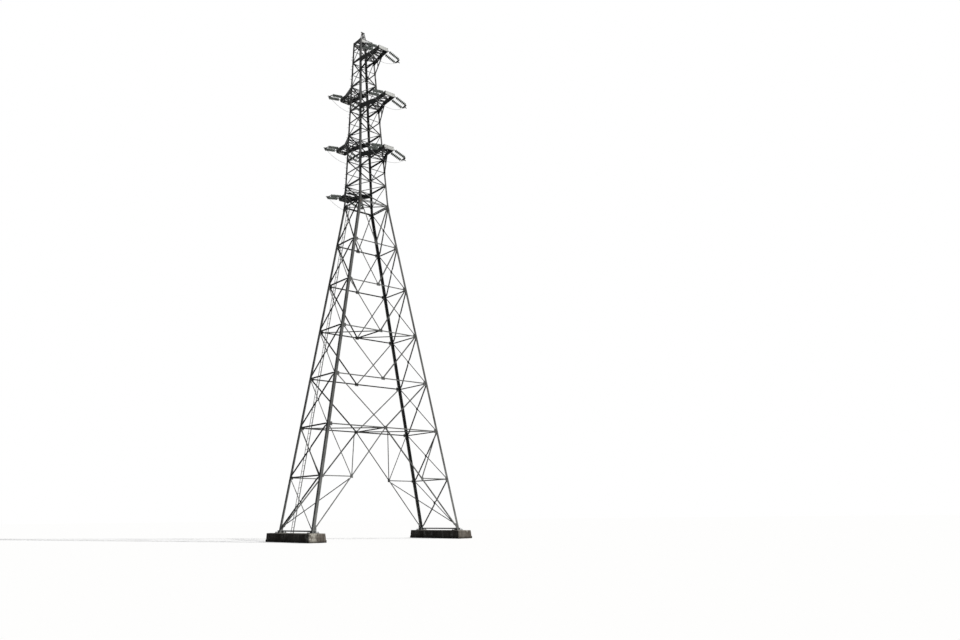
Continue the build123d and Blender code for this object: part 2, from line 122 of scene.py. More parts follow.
def objectPlace(tree, stretch=(1, 1, 1), turn=(0, 0, 0)):
    place = tree.nodes.new("ShaderNodeTexCoord")
    mapping = tree.nodes.new("ShaderNodeMapping")
    mapping.inputs["Scale"].default_value = stretch
    mapping.inputs["Rotation"].default_value = turn
    tree.links.new(place.outputs["Object"], mapping.inputs["Vector"])
    return mapping.outputs["Vector"]


def pattern(tree, kind, stretch=(1, 1, 1), turn=(0, 0, 0), **values):
    node = tree.nodes.new(f"ShaderNodeTex{kind}")
    for socket, value in values.items():
        node.inputs[socket].default_value = value
    tree.links.new(objectPlace(tree, stretch, turn), node.inputs["Vector"])
    return node


def cloud(tree, size, detail=4.0, stretch=(1, 1, 1), harsh=0.55):
    return pattern(tree, "Noise", stretch, Scale=size, Detail=detail, Roughness=harsh).outputs["Fac"]


def flakes(tree, size):
    return pattern(tree, "Voronoi", Scale=size).outputs["Distance"]


def ramp(tree, source, *stops):
    node = tree.nodes.new("ShaderNodeValToRGB")
    marks = node.color_ramp.elements
    while len(marks) < len(stops):
        marks.new(0.5)
    for mark, (place, tone) in zip(marks, stops):
        mark.position = place
        mark.color = (*tone, 1) if hasattr(tone, "__len__") else (tone, tone, tone, 1)
    tree.links.new(source, node.inputs["Fac"])
    return node.outputs["Color"]


def mixed(tree, share, first, second, way="MIX"):
    node = tree.nodes.new("ShaderNodeMix")
    node.data_type, node.blend_type = "RGBA", way
    for socket, value in ((0, share), (6, first), (7, second)):
        if isinstance(value, bpy.types.NodeSocket):
            tree.links.new(value, node.inputs[socket])
        else:
            node.inputs[socket].default_value = (*value, 1) if hasattr(value, "__len__") else value
    return node.outputs[2]


def shaded(tree, tone, shade, share=1.0):
    return mixed(tree, share, tone, shade, "MULTIPLY")


def relief(tree, shader, height, strength, depth):
    bump = tree.nodes.new("ShaderNodeBump")
    bump.inputs["Strength"].default_value = strength
    bump.inputs["Distance"].default_value = depth
    tree.links.new(height, bump.inputs["Height"])
    tree.links.new(bump.outputs["Normal"], shader.inputs["Normal"])


def heightBand(tree, low, high):
    place = tree.nodes.new("ShaderNodeTexCoord")
    split = tree.nodes.new("ShaderNodeSeparateXYZ")
    tree.links.new(place.outputs["Object"], split.inputs["Vector"])
    spread = tree.nodes.new("ShaderNodeMapRange")
    spread.inputs["From Min"].default_value = low
    spread.inputs["From Max"].default_value = high
    tree.links.new(split.outputs["Z"], spread.inputs["Value"])
    return spread.outputs["Result"]


def weatheredSteel(name, dark, pale, rust, agingAndSheen=True):
    material, tree, shader = newMaterial(name, Specular_IOR_Level=0.12)
    tone = ramp(tree, cloud(tree, 1.6, 6), (0.3, dark), (0.72, pale))
    spangle = ramp(tree, flakes(tree, 55), (0.0, 0.86), (0.7, 1.0))
    streaks = ramp(tree, cloud(tree, 1.0, 5, (26, 26, 0.9)), (0.36, 0.62), (0.6, 1.0))
    tone = shaded(tree, shaded(tree, tone, spangle), streaks, 0.8)
    # with the height band on, the steel gets darker up the tower: partly weathering, partly a painted sheen
    # that brightens the lowest panel's bars
    if agingAndSheen:  # paler near the ground, darkest on the mast
        stops = ((0.09, 1.0), (0.16, 0.66), (0.58, 0.56), (0.68, 0.36))
        tone = shaded(tree, tone, ramp(tree, heightBand(tree, 0, topZ), *stops))
    patches = ramp(tree, cloud(tree, 3.1, 9, (1, 1, 0.6), 0.7), (1 - rust, 0.0), (min(1.0, 1.07 - rust), 1.0))
    tree.links.new(mixed(tree, patches, tone, (0.17, 0.085, 0.045)), shader.inputs["Base Color"])
    dull = ramp(tree, cloud(tree, 14, 5), (0.3, 0.46), (0.75, 0.72))
    tree.links.new(mixed(tree, patches, dull, (0.85, 0.85, 0.85)), shader.inputs["Roughness"])
    relief(tree, shader, cloud(tree, 90, 6), 0.25, 0.0015)
    return material


pierBloom = {"place": (-4.62, -1.78, 0.24), "radius": 0.42}  # a pale patch on the near left corner


def stainedConcrete():
    material, tree, shader = newMaterial("stainedConcrete", Roughness=0.95, Specular_IOR_Level=0.0)
    tone = ramp(tree, cloud(tree, 1.8, 8), (0.28, (0.125, 0.108, 0.09)), (0.5, (0.205, 0.183, 0.157)),
                (0.74, (0.3, 0.278, 0.247)))
    grains = ramp(tree, cloud(tree, 60, 6, harsh=0.75), (0.3, 0.72), (0.7, 1.12))
    runs = ramp(tree, cloud(tree, 1.0, 6, (9, 9, 0.7)), (0.38, 0.5), (0.62, 1.0))
    tone = shaded(tree, shaded(tree, tone, grains, 0.9), runs, 0.75)
    bloom = ramp(tree, cloud(tree, 2.3, 9, (1, 1, 0.8), 0.72), (0.56, 0.0), (0.64, 1.0))
    tone = mixed(tree, bloom, tone, (0.52, 0.51, 0.46))
    spot = tree.nodes.new("ShaderNodeVectorMath")
    spot.operation, spot.inputs[1].default_value = "DISTANCE", pierBloom["place"]
    tree.links.new(objectPlace(tree), spot.inputs[0])
    near = ramp(tree, spot.outputs["Value"], (pierBloom["radius"] * 0.35, 1.0), (pierBloom["radius"], 0.0))
    broken = ramp(tree, cloud(tree, 7, 9, harsh=0.75), (0.44, 0.0), (0.56, 1.0))
    tone = mixed(tree, shaded(tree, near, broken), tone, (0.5, 0.48, 0.42))
    # painted light: the top and the top edge of the sides are lightened where they face the sun
    paintedTopLight = ramp(tree, heightBand(tree, 0.355, 0.4), (0.0, 0.0), (1.0, 0.62))  # pale top edge
    tone = mixed(tree, paintedTopLight, tone, (0.46, 0.44, 0.4))
    damp = ramp(tree, heightBand(tree, 0.03, 0.2), (0.0, 0.42), (0.5, 0.78), (1.0, 1.0))  # dark foot
    tree.links.new(shaded(tree, tone, damp), shader.inputs["Base Color"])
    boards = pattern(tree, "Wave", Scale=3.4, Distortion=0.6)
    boards.bands_direction = "Z"
    pits = ramp(tree, flakes(tree, 26), (0.1, 0.0), (0.32, 1.0))
    height = mixed(tree, 0.5, cloud(tree, 18, 9, harsh=0.7), shaded(tree, boards.outputs["Fac"], pits, 0.8))
    relief(tree, shader, height, 0.55, 0.012)
    return material


def glazedPorcelain():
    material, tree, shader = newMaterial("glazedPorcelain", Roughness=0.16, IOR=1.5, Coat_Weight=0.5,
                                         Coat_Roughness=0.05)
    tone = ramp(tree, cloud(tree, 5, 4), (0.3, (0.19, 0.235, 0.2)), (0.7, (0.38, 0.44, 0.38)))
    dust = ramp(tree, cloud(tree, 34, 6), (0.35, 0.7), (0.62, 1.0))
    tree.links.new(shaded(tree, tone, dust, 0.7), shader.inputs["Base Color"])
    relief(tree, shader, cloud(tree, 12, 2), 0.08, 0.002)
    return material


def strandedConductor():
    material, tree, shader = newMaterial("strandedConductor", Metallic=0.7)
    tone = ramp(tree, cloud(tree, 9, 5), (0.3, (0.12, 0.125, 0.13)), (0.7, (0.24, 0.24, 0.24)))
    tree.links.new(tone, shader.inputs["Base Color"])
    tree.links.new(ramp(tree, cloud(tree, 40, 4), (0.3, 0.45), (0.7, 0.7)), shader.inputs["Roughness"])
    strands = pattern(tree, "Wave", turn=(0, radians(35), 0), Scale=90)
    relief(tree, shader, strands.outputs["Fac"], 0.5, 0.001)
    return material


legSteel = weatheredSteel("legSteel", (0.13, 0.134, 0.131), (0.32, 0.326, 0.314), 0.36)
braceSteel = weatheredSteel("braceSteel", (0.14, 0.145, 0.142), (0.36, 0.366, 0.354), 0.32)
armSteel = weatheredSteel("armSteel", (0.11, 0.114, 0.112), (0.28, 0.285, 0.275), 0.34)
# pale steel that paints the sun's sheen on the end plates and on the near and far top plates
paintedSheenPlate = weatheredSteel("paintedSheenPlate", (0.66, 0.67, 0.65), (0.86, 0.87, 0.84), 0.2, False)
darkFitting = weatheredSteel("darkFitting", (0.06, 0.063, 0.062), (0.16, 0.164, 0.158), 0.4, False)
concrete = stainedConcrete()
porcelain = glazedPorcelain()
conductor = strandedConductor()

finishes = (("pier", concrete), ("leg", legSteel), ("shoes", legSteel), ("jumper", conductor),
            ("", braceSteel))
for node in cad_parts.values():
    node.data.materials.clear()
    node.data.materials.append(next(finish for ending, finish in finishes if node.name.endswith(ending)))
print("materials on", len(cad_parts), "nodes")

# Crossarms: two channels that run from the mast's legs to the neck and on to the end plate,
# braced level, chords down to the legs, root plates, an end plate and the lugs' base plates
armShape = {"neck": 0.9, "tipHalf": 0.29, "depthRoot": 0.185, "depthTip": 0.15, "inset": 0.225,
            "plate": 0.014, "chord": 0.06, "webLap": 0.004, "webGap": 0.007, "standOff": 0.002,
            "lacing": 0.034, "lacingRise": 0.4, "bays": (3, 3), "webBar": (0.5, 0.42),
            "stiffener": 0.007, "stiffenerClear": 0.008, "stiffenerShift": 0.001, "stiffenerLap": 0.03,
            "stiffeners": (0.02, 0.5, 0.97), "rootPlate": (0.13, 0.01), "rootInset": 0.058,
            "rootPlates": ((0.09, 0.34), (panelHeight, 0.2)), "rootBolts": (0.045, 0.07),
            "gusset": (0.15, 0.006, 0.233), "gussetBolts": (-0.05, 0, 0.05), "endSize": (0.63, 0.2),
            "endBolts": (-0.24, -0.12, 0, 0.12, 0.24), "endRows": (-0.07, 0.07), "lugFace": 0.315,
            "lugThickness": 0.03, "lugPlate": (0.07, 0.01), "lugRows": (-0.08, 0.08), "lugSpread": 0.165}
arms = {}  # side of the tower, index of the level of the upper chords, and reach
for step, (height, reach) in enumerate((("lower", 2.05), ("middle", 2.26), ("upper", 1.82))):
    arms[f"near_{height}"] = (-1, 2 + 4 * step, reach)
    arms[f"far_{height}"] = (1, 4 * step, reach)


def armTip(arm):
    side, index, reach = arms[arm]
    return Vector((0, side * (reach - armShape["inset"]), panelLevels[index] - armShape["depthTip"] / 2))


# Jumper loops: the route's points from the middle of the arm's tip
jumper = {"diameter": 0.015, "length": 2.53,
          "route": ((-1.182, -0.220), (-1.014, -0.339), (-0.830, -0.452), (-0.650, -0.545), (-0.465, -0.618),
                    (-0.275, -0.670), (-0.085, -0.699), (0.110, -0.705), (0.300, -0.688), (0.490, -0.649),
                    (0.675, -0.590), (0.850, -0.513), (1.010, -0.426), (1.155, -0.335))}


def jumperLoop(arm):
    tip = armTip(arm)
    route = [tip + Vector((x, 0, z)) for x, z in jumper["route"]]
    data = bpy.data.curves.new(f"{arm}_loop", "CURVE")
    data.dimensions = "3D"
    data.bevel_depth, data.bevel_resolution = jumper["diameter"] / 2, 3
    data.resolution_u, data.use_fill_caps = 6, True
    spline = data.splines.new("NURBS")
    spline.points.add(len(route) - 1)
    for point, place in zip(spline.points, route):
        point.co = (*place, 1)
    spline.order_u = 3
    spline.use_endpoint_u = True
    piece = bpy.data.objects.new(f"{arm}_loop", data)
    scene.collection.objects.link(piece)
    data.materials.append(conductor)
    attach(piece, "root")
    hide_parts(f"{arm}_jumper")


for arm in arms:
    jumperLoop(arm)
print("jumper loops:", len(arms))

# Modelling helpers


def addPrimitive(add, **values):
    # a new primitive, alone in the selection, with its place in its mesh
    bpy.ops.object.select_all(action="DESELECT")
    add(**values)
    bpy.ops.object.transform_apply(location=True, rotation=True, scale=True)
    return bpy.context.object


def startEdit():
    bpy.ops.object.mode_set(mode="EDIT")
    bpy.ops.mesh.select_mode(type="FACE")


def endEdit(outward=False):
    if outward:
        bpy.ops.mesh.select_all(action="SELECT")
        bpy.ops.mesh.normals_make_consistent(inside=False)
    bpy.ops.object.mode_set(mode="OBJECT")
    return bpy.context.object


def selectFaces(test):
    mesh = bmesh.from_edit_mesh(bpy.context.object.data)
    mesh.normal_update()
    for face in mesh.faces:
        face.select_set(bool(test(face.calc_center_median(), face.normal)))
    mesh.select_flush(True)
    bmesh.update_edit_mesh(bpy.context.object.data)


def selectTop():
    selectFaces(lambda center, normal: normal.z > pointing)


def selectEdges(test):
    bpy.ops.mesh.select_mode(type="EDGE")
    mesh = bmesh.from_edit_mesh(bpy.context.object.data)
    for edge in mesh.edges:
        edge.select_set(bool(test(edge.verts[0].co, edge.verts[1].co)))
    bmesh.update_edit_mesh(bpy.context.object.data)


def extrude(x=0.0, y=0.0, z=0.0):
    bpy.ops.mesh.extrude_region_move(TRANSFORM_OT_translate={"value": (x, y, z)})


def addBlock(size, center=(0, 0, 0)):
    addPrimitive(bpy.ops.mesh.primitive_cube_add, size=1, location=center, scale=size)
    startEdit()


def addPrism(sides, radius, low, high, inset):
    # an upright prism with its top face inset
    addPrimitive(bpy.ops.mesh.primitive_cylinder_add, vertices=sides, radius=radius, depth=high - low,
                 location=(0, 0, (low + high) / 2))
    startEdit()
    selectTop()
    bpy.ops.mesh.inset(thickness=inset)


def roundRing(place, turn, segments, major, minor):
    return addPrimitive(bpy.ops.mesh.primitive_torus_add, location=place, rotation=turn, minor_segments=6,
                        major_segments=segments, major_radius=major, minor_radius=minor)


def turned(sides, rings):
    # a closed turned shape about Z, from (height, radius) rings
    height, radius = rings[0]
    addPrimitive(bpy.ops.mesh.primitive_circle_add, vertices=sides, radius=radius,
                 location=(0, 0, height), fill_type="NGON")
    startEdit()
    bpy.ops.mesh.select_all(action="SELECT")
    for (low, radius), (high, wider) in zip(rings, rings[1:]):
        extrude(z=high - low)
        grow = wider / radius
        bpy.ops.transform.resize(value=(grow, grow, 1), center_override=(0, 0, high))
    return endEdit(outward=True)


def ownCopy(source):
    twin = source.copy()
    twin.data = source.data.copy()
    return twin


def placed(piece, matrix):
    piece.data.transform(matrix)
    if matrix.determinant() < 0:
        piece.data.flip_normals()
    scene.collection.objects.link(piece)
    return piece


def placedCopy(source, matrix):
    return placed(ownCopy(source), matrix)


def joined(name, parts, material):
    bpy.ops.object.select_all(action="DESELECT")
    for part in parts:
        part.select_set(True)
    bpy.context.view_layer.objects.active = parts[0]
    if len(parts) > 1:
        bpy.ops.object.join()
    piece = bpy.context.view_layer.objects.active
    piece.name = name
    piece.data.materials.clear()
    piece.data.materials.append(material)
    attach(piece, "root")
    return piece


def discard(*pieces):
    for piece in pieces:
        bpy.data.objects.remove(piece)


def squared(direction, along):
    # the direction turned square to along
    return (Vector(direction) - along * along.dot(Vector(direction))).normalized()


def facing(outward, upward=(0, 0, 1)):
    # a frame whose Z is outward
    out = Vector(outward).normalized()
    side = Vector(upward).cross(out)
    if side.length < 1e-4:
        side = Vector((1, 0, 0)).cross(out)
    side.normalize()
    return axes(side, out.cross(side), out)


# Models of unit size: a steel angle with its heel on the Z axis, a plate with clipped corners
# and its thickness along Y, and a bolt and a nut that stand along Z
unit = {"angleThickness": 0.11, "plateCorner": 0.14, "washer": (10, 0.62, 0, 0.08, 0.05),
        "head": (6, 0.5, 0.08, 0.42, 0.09), "headCrown": 0.05, "nut": (6, 0.5, 0, 0.4, 0.24), "thread": 0.26}
boltSize = {"leg": 0.026, "brace": 0.022, "lap": 0.0198, "mast": 0.018, "small": 0.0162, "anchor": 0.042}


def angleModel():
    thickness = unit["angleThickness"]
    addBlock((1, thickness, 1), (0.5, thickness / 2, 0.5))
    bpy.ops.mesh.select_all(action="SELECT")
    bpy.ops.mesh.bisect(plane_co=(thickness, 0, 0), plane_no=(1, 0, 0))
    selectFaces(lambda center, normal: normal.y > pointing and center.x < thickness)
    extrude(y=1 - thickness)
    return endEdit(outward=True)


def plateModel():
    addBlock((1, 1, 1))
    selectEdges(lambda a, b: abs(a.y - b.y) > closeBy)
    bpy.ops.mesh.bevel(offset=unit["plateCorner"], segments=1)
    return endEdit()


def boltModel():
    # washer and hexagon head with a chamfered top
    addPrism(*unit["washer"])
    washer = endEdit()
    addPrism(*unit["head"])
    bpy.ops.transform.translate(value=(0, 0, unit["headCrown"]))
    head = endEdit()
    washer.select_set(True)
    bpy.ops.object.join()
    return head


def nutModel():
    # a nut with the bolt's end standing out of it
    addPrism(*unit["nut"])
    extrude(z=unit["thread"])
    return endEdit()


model = {"angle": angleModel(), "plate": plateModel(), "bolt": boltModel(), "nut": nutModel()}


def angle(start, end, across, stand, width, clip=0.0, reach=None):
    # flat flange from the heel line along across, the other along stand with its ends clipped
    start, end = Vector(start), Vector(end)
    run = end - start
    along = run.normalized()
    stand = squared(stand, along)
    across = squared(squared(across, along), stand)
    bar = ownCopy(model["angle"])
    if clip:
        share = clip / run.length
        for vertex in bar.data.vertices:
            if vertex.co.y > unit["angleThickness"] + closeBy:
                vertex.co.z = blend(share, 1 - share, vertex.co.z)
    return placed(bar, Matrix.Translation(start) @ axes(across * width, stand * (reach or width), run))


def bolt(parts, place, outward, kind, grip=None):
    # a bolt's head, and its nut behind what it holds where a grip is given
    outward, scale = Vector(outward).normalized(), Matrix.Scale(boltSize[kind], 4)
    parts.append(placedCopy(model["bolt"], Matrix.Translation(place) @ facing(outward) @ scale))
    if grip is not None:
        behind = Matrix.Translation(Vector(place) - outward * grip)
        parts.append(placedCopy(model["nut"], behind @ facing(-outward) @ scale))


def plate(parts, center, size, outward, upward=(0, 0, 1)):
    # size is width, thickness, height; the thickness runs along outward
    out = Vector(outward).normalized()
    upright = squared(upward, out)
    shape = axes(out.cross(upright) * size[0], out * size[1], upright * size[2])
    parts.append(placedCopy(model["plate"], Matrix.Translation(center) @ shape))


def shortened(start, end, first, last):
    along = (end - start).normalized()
    return start + along * first, end - along * last


def laced(bars, first, second, bays, size, stand):
    # a zigzag with posts between two lines, each given by its two ends
    marks = [(first[0].lerp(first[1], bay / bays), second[0].lerp(second[1], bay / bays))
             for bay in range(bays + 1)]
    for turn, ((a, b), (c, d)) in enumerate(zip(marks, marks[1:])):
        start, end = (a, d) if turn % 2 == 0 else (b, c)
        bars.append(angle(start, end, c - a, stand, size))
        bars.append(angle(c, d, a - c, stand, size))


# The tower's flat sides
class Side:
    def __init__(self, name, mast):
        self.axis = 1 if name in ("near", "far") else 0
        self.sign = -1 if name in ("near", "left") else 1
        low, high = (waistZ, topZ) if mast else (footZ, waistZ)
        lean = (halfWidth(high, self.axis) - halfWidth(low + 1e-6, self.axis)) / (high - low)
        outward = [0, 0, -lean]
        outward[self.axis] = self.sign
        self.outward = Vector(outward).normalized()
        self.stretch = hypot(1, lean)

    def point(self, across, z, depth=0.0):
        place = [across, across, z]
        place[self.axis] = self.sign * (halfWidth(z, self.axis) - depth * self.stretch)
        return Vector(place)

    def corner(self, way, z, inset, depth=0.0):
        return self.point(way * (halfWidth(z, 1 - self.axis) - inset), z, depth)

    def diagonal(self, way, low, high, inset, depth):
        return self.corner(-way, low, inset, depth), self.corner(way, high, inset, depth)

    def bar(self, start, end, width, inward=True, heel=1, clip=0.0):
        # an angle whose flat flange is centred on the line from start to end
        along = (end - start).normalized()
        stand = -self.outward if inward else self.outward
        across = along.cross(stand) * heel
        shift = across * width / 2
        return angle(start + shift, end + shift, -across, stand, width, clip)


# Narrow sides of the body: crossed angles, one in one length and one cut at the crossing,
# bolted to a square plate there and to the legs' flanges
narrow = {"width": 0.05, "inset": 0.0625, "depth": 0.014, "clip": 0.16, "gap": 0.03, "bottomGap": 0.06,
          "cut": 0.045, "plate": 0.15, "plateThickness": 0.008, "plateDepth": 0.0124, "bolts": (0.03, 0.068),
          "grip": 0.024, "girt": 0.055, "girtInset": 0.045, "girtClip": 0.13, "girtBolts": (0.03, 0.08)}


def narrowSide(name):
    side = Side(name, False)
    outward, depth, thickness = side.outward, narrow["depth"], narrow["plateThickness"]
    bars, bolts = [], []
    for index, (low, high) in enumerate(zip(bodyLevels, bodyLevels[1:])):
        share = halfWidth(low, 1) / (halfWidth(low, 1) + halfWidth(high, 1))
        for way in bothWays:
            ends = side.diagonal(way, low, high, narrow["inset"], depth)
            start, end = shortened(*ends, narrow["gap"] if index else narrow["bottomGap"], narrow["gap"])
            crossing = start.lerp(end, share)
            along = (end - start).normalized()
            before, after = crossing - along * narrow["cut"], crossing + along * narrow["cut"]
            for first, last in ((start, end),) if way > 0 else ((start, before), (after, end)):
                bars.append(side.bar(first, last, narrow["width"], False, way, narrow["clip"]))
            for reach in narrow["bolts"]:
                for place in (start + along * reach, end - along * reach):
                    bolt(bolts, place + outward * depth, outward, "brace", narrow["grip"])
                for turn in bothWays:
                    bolt(bolts, crossing + along * turn * reach - outward * thickness, outward, "lap")
        size = (narrow["plate"], thickness, narrow["plate"])
        plate(bars, crossing - outward * narrow["plateDepth"], size, outward)
        ends = [side.corner(way, high, narrow["girtInset"], depth) for way in bothWays]
        bars.append(side.bar(*ends, narrow["girt"], False, 1, narrow["girtClip"]))
        for way, place in zip((1, -1), ends):
            for reach in narrow["girtBolts"]:
                spot = place + Vector((0, way * reach, 0)) + outward * depth
                bolt(bolts, spot, outward, "brace", narrow["grip"])
    piece = joined(f"{name}_side_angles", bars, braceSteel)
    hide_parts(f"{name}_lower_lattice")
    joined(f"{name}_side_bolts", bolts, braceSteel)


for name in ("left", "right"):
    narrowSide(name)
print("narrow sides done")

# Mast: girts at every level with one diagonal a panel that zigzags round, and the top plates
mast = {"width": 0.042, "heavy": 1.7, "inset": 0.05, "depth": 0.01, "trim": 0.05, "clip": 0.06, "bolt": 0.02,
        "grip": 0.018, "footRise": 0.024, "topDrop": 0.002, "girtInset": 0.055, "girtClip": 0.04,
        "girtBolt": 0.018, "topPlate": 0.215, "plateInset": 0.026, "plateGrip": 0.012, "thickness": 0.01,
        "cornerPlate": 0.33, "cornerBolts": (0.03, 0.07, 0.17, 0.29), "bandBolts": (0.92, 0.8, 0.3),
        "boltRises": (-0.07, 0.06)}


def topPlates(side, plates, bolts):
    z, thickness, tall = topZ - mast["topPlate"] / 2, mast["thickness"], mast["topPlate"]
    width = halfWidth(z, 1 - side.axis) - mast["plateInset"]
    middle = mast["depth"] + thickness / 2
    if side.axis:
        long, centers = mast["cornerPlate"], [way * (width - mast["cornerPlate"] / 2) for way in bothWays]
        spots = [way * (width - reach) for way in bothWays for reach in mast["cornerBolts"]]
    else:
        long, centers = 2 * width, [0]
        spots = [way * share * width for way in bothWays for share in mast["bandBolts"]]
    for center in centers:
        plate(plates, side.point(center, z, middle), (long, thickness, tall), side.outward)
    for spot, rise in product(spots, mast["boltRises"]):
        bolt(bolts, side.point(spot, z + rise, mast["depth"]), side.outward, "mast", mast["plateGrip"])


def mastSide(name):
    side, depth = Side(name, True), mast["depth"]
    bars, bolts, plates = [], [], []
    footGirt, topGirt = waistZ + mast["footRise"], topZ - mast["width"] / 2 - mast["topDrop"]
    nodes = [footGirt, panelLevels[0] - panelHeight, *panelLevels, topZ - mast["topPlate"] / 2]
    for index, (low, high) in enumerate(zip(nodes, nodes[1:])):
        lean = side.sign if index % 2 == 0 else -side.sign
        ends = side.diagonal(lean, low, high, mast["inset"], depth)
        start, end = shortened(*ends, mast["trim"], mast["trim"])
        bars.append(side.bar(start, end, mast["width"], True, 1, mast["clip"]))
        for place in shortened(start, end, mast["bolt"], mast["bolt"]):
            bolt(bolts, place + side.outward * depth, side.outward, "mast", mast["grip"])
    armLevels = [panelLevels[index] for _, index, _ in arms.values()]
    for z in (footGirt, *panelLevels, topGirt):
        ends = [side.corner(way, z, mast["girtInset"], depth) for way in bothWays]
        heavy = mast["heavy"] if side.axis == 0 and z in armLevels else 1
        bars.append(side.bar(*ends, mast["width"] * heavy, True, 1, mast["girtClip"]))
        for way, place in zip((1, -1), ends):
            inward = Vector((0, 0, 0))
            inward[1 - side.axis] = way * mast["girtBolt"]
            bolt(bolts, place + inward + side.outward * depth, side.outward, "mast", mast["grip"])
    topPlates(side, plates, bolts)
    piece = joined(f"{name}_mast_angles", bars, braceSteel)
    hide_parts(f"{name}_mast_lattice")
    # near and far top plates in the pale steel with the painted sheen, left and right ones in the darker leg
    # steel
    joined(f"{name}_top_plates", plates, paintedSheenPlate if side.axis else legSteel)
    joined(f"{name}_mast_bolts", bolts, braceSteel)


for name in ("near", "far", "left", "right"):
    mastSide(name)
print("mast sides done")


def armLines(arm, way):
    # root, neck and tip on the upper and the lower edge of a channel, and the lower chord's root
    side, index, reach = arms[arm]
    level = panelLevels[index]
    low, tipLow = level - armShape["depthRoot"], level - armShape["depthTip"]
    half, neck, tip = armShape["tipHalf"], halfWidth(level, 1) + armShape["neck"], reach - armShape["plate"]

    def at(x, y, z):
        return Vector((way * x, side * y, z))

    root, deepRoot, foot = (at(halfWidth(z, 0) - mast["inset"], halfWidth(z, 1) + armShape["standOff"], z)
                            for z in (level, low, level - panelHeight))
    upper = (root, at(half, neck, level), at(half, tip, level))
    return upper, (deepRoot, at(half, neck, low), at(half, tip, tipLow)), foot


def armChannel(bars, arm, way):
    upper, lower, foot = armLines(arm, way)
    inner, outward = Vector((-way, 0, 0)), Vector((0, arms[arm][0], 0))
    chord = armShape["chord"]
    web = (armShape["depthRoot"] + chord) / 2 + armShape["webLap"]
    outTop, outLow = (Vector((way, 0, rise)) * chord / 2 for rise in (1, -1))
    inLow = outLow + inner * armShape["webGap"]
    runs = [(start, end, outTop, down, web) for start, end in zip(upper, upper[1:])]
    runs += [(start, end, inLow, up, web) for start, end in zip(lower, lower[1:])]
    for start, end, shift, stand, deep in (*runs, (foot, lower[1], outLow, up, chord)):
        bars.append(angle(start + shift, end + shift, inner, stand, chord, 0.0, deep))
    # stiffeners inside the channels, and one web between the spread chords
    for (a, b), (c, d) in zip(zip(upper, upper[1:]), zip(lower, lower[1:])):
        for share in armShape["stiffeners"]:
            above, under = a.lerp(b, share), c.lerp(d, share)
            size = (chord - armShape["stiffenerClear"], armShape["stiffener"],
                    above.z - under.z + armShape["stiffenerLap"])
            plate(bars, (above + under) / 2 + inner * armShape["stiffenerShift"], size, outward)
    high, low = armShape["webBar"]
    start, end = upper[0].lerp(upper[1], high), foot.lerp(lower[1], low)
    bars.append(angle(start, end, outward, inner, armShape["lacing"]))


def armRoot(plates, bolts, arm, way):
    # plates on the mast's legs, and gusset plates on the chords at the neck
    upper, lower, _ = armLines(arm, way)
    side, outward, sideways = arms[arm][0], Vector((0, arms[arm][0], 0)), Vector((way, 0, 0))
    width, thickness = armShape["rootPlate"]
    across, rise = armShape["rootBolts"]
    for drop, tall in armShape["rootPlates"]:
        z = upper[0].z - drop
        x, y = halfWidth(z, 0) - armShape["rootInset"], halfWidth(z, 1) + thickness / 2
        center = Vector((way * x, side * y, z))
        plate(plates, center, (width, thickness, tall), outward)
        for left, lift in product((-across, across), (-rise, rise)):
            bolt(bolts, center + Vector((left, side * thickness / 2, lift)), outward, "mast")
    gusset, chord = armShape["gusset"], armShape["chord"]
    plate(plates, (upper[1] + lower[1]) / 2 + sideways * (chord + gusset[1]) / 2, gusset, sideways)
    for y, z in product(armShape["gussetBolts"], (0, -armShape["depthRoot"])):
        bolt(bolts, upper[1] + Vector((way * (chord / 2 + gusset[1]), y, z)), sideways, "mast")


def armLacing(bars, arm):
    left, right = (armLines(arm, way) for way in bothWays)
    for row, rise, stand in ((0, 1, down), (1, -1, up)):
        lift = up * rise * armShape["chord"] * armShape["lacingRise"]
        first, second = ([place + lift for place in lines[row]] for lines in (left, right))
        for bays, one, other in zip(armShape["bays"], zip(first, first[1:]), zip(second, second[1:])):
            laced(bars, one, other, bays, armShape["lacing"], stand)


def armEnd(ends, plates, bolts, arm):
    # the end plate, and the base plates of the lugs
    side, _, reach = arms[arm]
    outward, tip, thickness = Vector((0, side, 0)), armTip(arm), armShape["plate"]
    width, tall = armShape["endSize"]
    center = Vector((0, side * (reach - thickness / 2), tip.z))
    plate(ends, center, (width, thickness, tall), outward)
    for x, z in product(armShape["endBolts"], armShape["endRows"]):
        bolt(bolts, center + Vector((x, side * thickness / 2, z)), outward, "mast")
    long, thin = armShape["lugPlate"]
    for way, spread in product(bothWays, bothWays):
        spot = tip + Vector((way * (armShape["lugFace"] + thin / 2), spread * armShape["lugSpread"], 0))
        plate(plates, spot, (long, thin, tall), (way, 0, 0))
        for z in armShape["lugRows"]:
            bolt(bolts, spot + Vector((way * thin / 2, 0, z)), (way, 0, 0), "mast")


def crossarm(arm):
    bars, plates, ends, bolts = [], [], [], []
    for way in bothWays:
        armChannel(bars, arm, way)
        armRoot(plates, bolts, arm, way)
    armLacing(bars, arm)
    armEnd(ends, plates, bolts, arm)
    piece = joined(f"{arm}_arm_angles", bars, armSteel)
    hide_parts(f"{arm}_arm")
    joined(f"{arm}_arm_plates", plates, legSteel)
    # the end plate in the pale steel with the painted sheen
    joined(f"{arm}_end_plate", ends, paintedSheenPlate)
    joined(f"{arm}_arm_bolts", bolts, braceSteel)


for arm in arms:
    crossarm(arm)
print("crossarms done")

# Piers: cast blocks on a wider ledge, worn edges, and pads under the shoes
pier = {"height": 0.4, "length": 3.56, "width": 0.88, "batter": 0.015, "ledge": 0.02, "ledgeHeight": 0.12,
        "center": 4.36, "chamfer": 0.02, "grain": 0.022, "wear": 0.016, "wearSize": 0.22, "smooth": 50,
        "pad": (0.46, 0.46, 0.05), "padDrop": 0.0005, "padCorner": 0.03, "slack": 0.004}
wearTexture = bpy.data.textures.new("wear", "CLOUDS")
wearTexture.noise_scale, wearTexture.noise_depth = pier["wearSize"], 5


